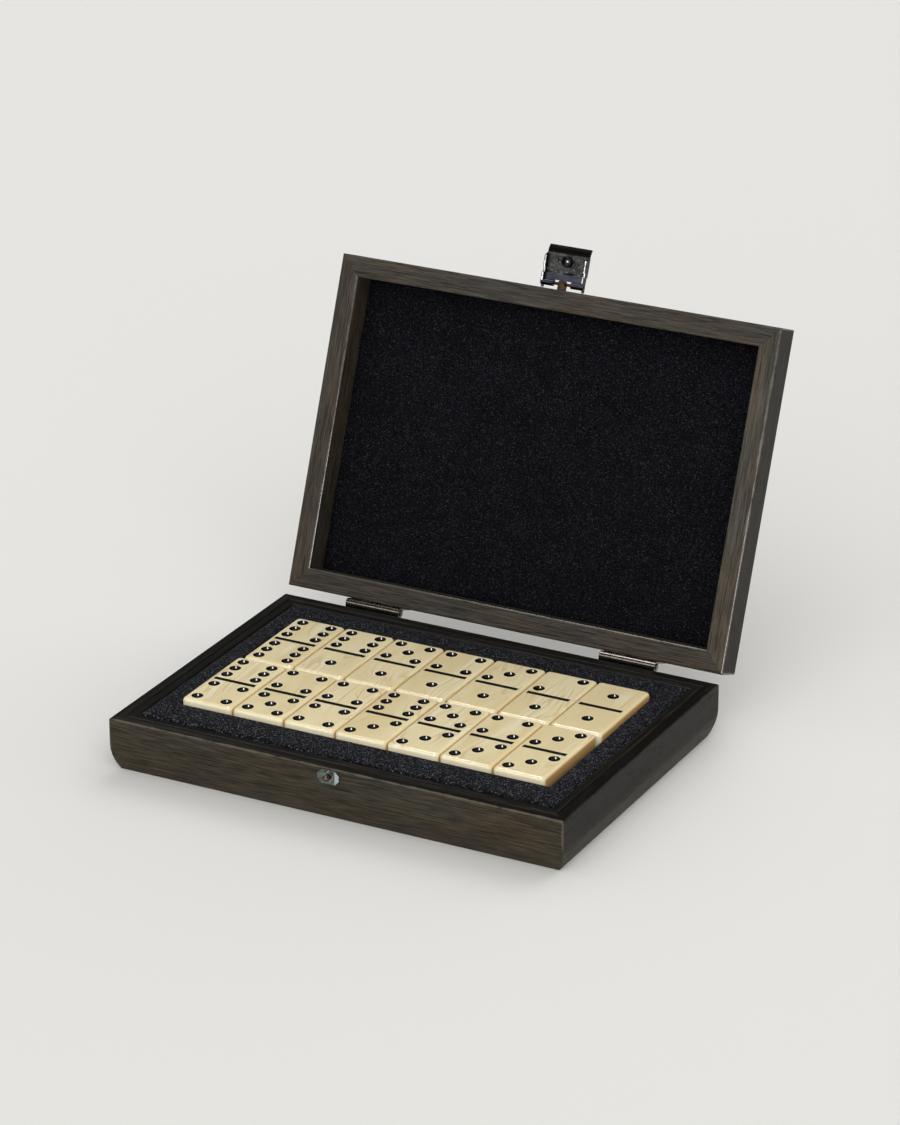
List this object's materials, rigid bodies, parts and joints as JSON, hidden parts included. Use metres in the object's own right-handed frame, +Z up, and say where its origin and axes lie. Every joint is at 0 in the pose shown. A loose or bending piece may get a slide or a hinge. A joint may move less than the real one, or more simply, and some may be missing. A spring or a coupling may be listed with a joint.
{
  "type": "domino storage box",
  "caption": "Shallow dark wooden case with a hinged lid, velvet bed holding a double layer of ivory dominoes, and a flap latch that snaps over a stud.",
  "frame": {"origin": "middle of the flat underside, on the surface the box stands on", "axes": "+Z up, +Y towards the hinges, +X to the right as seen from the latch side"},
  "size_m": [0.208, 0.2209, 0.178],
  "materials": {
    "dark_veneer": "satin open-grained dark brown veneer, worn lighter along its edges",
    "velvet": "short-pile blue-black velvet with a fine sparkle",
    "ivory_resin": "glossy pearl ivory resin with black painted pips and dividing line",
    "brass": "lightly tarnished brass",
    "gunmetal": "black burnished steel sheet, bright on its worn edges",
    "nickel": "satin nickel plate",
    "stud_bronze": "polished brown-toned metal"
  },
  "bodies": {
    "base": {"base_front_rail": "dark_veneer", "base_right_rail": "dark_veneer", "base_back_rail": "dark_veneer", "base_left_rail": "dark_veneer", "base_front_liner": "dark_veneer", "base_right_liner": "dark_veneer", "base_back_liner": "dark_veneer", "base_left_liner": "dark_veneer", "base_bottom_panel": "dark_veneer", "base_velvet_bed": "velvet", "base_pocket_pad": "velvet", "left_hinge_base_leaf": "brass", "right_hinge_base_leaf": "brass", "left_hinge_pin": "brass", "right_hinge_pin": "brass", "base_hinge_screws": "brass", "strike_plate": "nickel", "strike_stud": "stud_bronze"},
    "lid": {"lid_front_rail": "dark_veneer", "lid_right_rail": "dark_veneer", "lid_back_rail": "dark_veneer", "lid_left_rail": "dark_veneer", "lid_panel": "dark_veneer", "lid_velvet_board": "velvet", "left_hinge_lid_leaf": "brass", "right_hinge_lid_leaf": "brass", "lid_hinge_screws": "brass", "latch_bracket": "brass", "latch_screws": "gunmetal", "latch_pin": "brass"},
    "latch": {"latch_flap": "gunmetal", "latch_socket": "gunmetal"},
    "tile_0_0": {"domino_0_0": "ivory_resin"},
    "tile_6_6": {"domino_6_6": "ivory_resin"},
    "tile_0_1": {"domino_0_1": "ivory_resin"},
    "tile_6_1": {"domino_6_1": "ivory_resin"},
    "tile_0_2": {"domino_0_2": "ivory_resin"},
    "tile_5_1": {"domino_5_1": "ivory_resin"},
    "tile_0_3": {"domino_0_3": "ivory_resin"},
    "tile_4_1": {"domino_4_1": "ivory_resin"},
    "tile_0_4": {"domino_0_4": "ivory_resin"},
    "tile_3_1": {"domino_3_1": "ivory_resin"},
    "tile_0_5": {"domino_0_5": "ivory_resin"},
    "tile_2_1": {"domino_2_1": "ivory_resin"},
    "tile_0_6": {"domino_0_6": "ivory_resin"},
    "tile_1_1": {"domino_1_1": "ivory_resin"},
    "tile_2_2": {"domino_2_2": "ivory_resin"},
    "tile_6_4": {"domino_6_4": "ivory_resin"},
    "tile_2_3": {"domino_2_3": "ivory_resin"},
    "tile_4_5": {"domino_4_5": "ivory_resin"},
    "tile_2_4": {"domino_2_4": "ivory_resin"},
    "tile_4_4": {"domino_4_4": "ivory_resin"},
    "tile_2_5": {"domino_2_5": "ivory_resin"},
    "tile_6_3": {"domino_6_3": "ivory_resin"},
    "tile_2_6": {"domino_2_6": "ivory_resin"},
    "tile_5_3": {"domino_5_3": "ivory_resin"},
    "tile_5_5": {"domino_5_5": "ivory_resin"},
    "tile_4_3": {"domino_4_3": "ivory_resin"},
    "tile_5_6": {"domino_5_6": "ivory_resin"},
    "tile_3_3": {"domino_3_3": "ivory_resin"}
  },
  "joints": [
    {"name": "lid_hinge", "type": "hinge", "parent": "base", "child": "lid", "pos_m": [0, 0.07565, 0.0241], "axis": [-1, 0, 0], "range_deg": [-111, 0]},
    {"name": "latch_hinge", "type": "hinge", "parent": "lid", "child": "latch", "pos_m": [-0.0008, 0.13511, 0.16366], "axis": [-1, 0, 0], "range_deg": [-90, 0]},
    {"name": "lift_0_0", "type": "slide", "parent": "base", "child": "tile_0_0", "axis": [0, 0, 1], "range_m": [0, 0.04]},
    {"name": "lift_6_6", "type": "slide", "parent": "tile_0_0", "child": "tile_6_6", "axis": [0, 0, 1], "range_m": [0, 0.04]},
    {"name": "lift_0_1", "type": "slide", "parent": "base", "child": "tile_0_1", "axis": [0, 0, 1], "range_m": [0, 0.04]},
    {"name": "lift_6_1", "type": "slide", "parent": "tile_0_1", "child": "tile_6_1", "axis": [0, 0, 1], "range_m": [0, 0.04]},
    {"name": "lift_0_2", "type": "slide", "parent": "base", "child": "tile_0_2", "axis": [0, 0, 1], "range_m": [0, 0.04]},
    {"name": "lift_5_1", "type": "slide", "parent": "tile_0_2", "child": "tile_5_1", "axis": [0, 0, 1], "range_m": [0, 0.04]},
    {"name": "lift_0_3", "type": "slide", "parent": "base", "child": "tile_0_3", "axis": [0, 0, 1], "range_m": [0, 0.04]},
    {"name": "lift_4_1", "type": "slide", "parent": "tile_0_3", "child": "tile_4_1", "axis": [0, 0, 1], "range_m": [0, 0.04]},
    {"name": "lift_0_4", "type": "slide", "parent": "base", "child": "tile_0_4", "axis": [0, 0, 1], "range_m": [0, 0.04]},
    {"name": "lift_3_1", "type": "slide", "parent": "tile_0_4", "child": "tile_3_1", "axis": [0, 0, 1], "range_m": [0, 0.04]},
    {"name": "lift_0_5", "type": "slide", "parent": "base", "child": "tile_0_5", "axis": [0, 0, 1], "range_m": [0, 0.04]},
    {"name": "lift_2_1", "type": "slide", "parent": "tile_0_5", "child": "tile_2_1", "axis": [0, 0, 1], "range_m": [0, 0.04]},
    {"name": "lift_0_6", "type": "slide", "parent": "base", "child": "tile_0_6", "axis": [0, 0, 1], "range_m": [0, 0.04]},
    {"name": "lift_1_1", "type": "slide", "parent": "tile_0_6", "child": "tile_1_1", "axis": [0, 0, 1], "range_m": [0, 0.04]},
    {"name": "lift_2_2", "type": "slide", "parent": "base", "child": "tile_2_2", "axis": [0, 0, 1], "range_m": [0, 0.04]},
    {"name": "lift_6_4", "type": "slide", "parent": "tile_2_2", "child": "tile_6_4", "axis": [0, 0, 1], "range_m": [0, 0.04]},
    {"name": "lift_2_3", "type": "slide", "parent": "base", "child": "tile_2_3", "axis": [0, 0, 1], "range_m": [0, 0.04]},
    {"name": "lift_4_5", "type": "slide", "parent": "tile_2_3", "child": "tile_4_5", "axis": [0, 0, 1], "range_m": [0, 0.04]},
    {"name": "lift_2_4", "type": "slide", "parent": "base", "child": "tile_2_4", "axis": [0, 0, 1], "range_m": [0, 0.04]},
    {"name": "lift_4_4", "type": "slide", "parent": "tile_2_4", "child": "tile_4_4", "axis": [0, 0, 1], "range_m": [0, 0.04]},
    {"name": "lift_2_5", "type": "slide", "parent": "base", "child": "tile_2_5", "axis": [0, 0, 1], "range_m": [0, 0.04]},
    {"name": "lift_6_3", "type": "slide", "parent": "tile_2_5", "child": "tile_6_3", "axis": [0, 0, 1], "range_m": [0, 0.04]},
    {"name": "lift_2_6", "type": "slide", "parent": "base", "child": "tile_2_6", "axis": [0, 0, 1], "range_m": [0, 0.04]},
    {"name": "lift_5_3", "type": "slide", "parent": "tile_2_6", "child": "tile_5_3", "axis": [0, 0, 1], "range_m": [0, 0.04]},
    {"name": "lift_5_5", "type": "slide", "parent": "base", "child": "tile_5_5", "axis": [0, 0, 1], "range_m": [0, 0.04]},
    {"name": "lift_4_3", "type": "slide", "parent": "tile_5_5", "child": "tile_4_3", "axis": [0, 0, 1], "range_m": [0, 0.04]},
    {"name": "lift_5_6", "type": "slide", "parent": "base", "child": "tile_5_6", "axis": [0, 0, 1], "range_m": [0, 0.04]},
    {"name": "lift_3_3", "type": "slide", "parent": "tile_5_6", "child": "tile_3_3", "axis": [0, 0, 1], "range_m": [0, 0.04]}
  ]
}
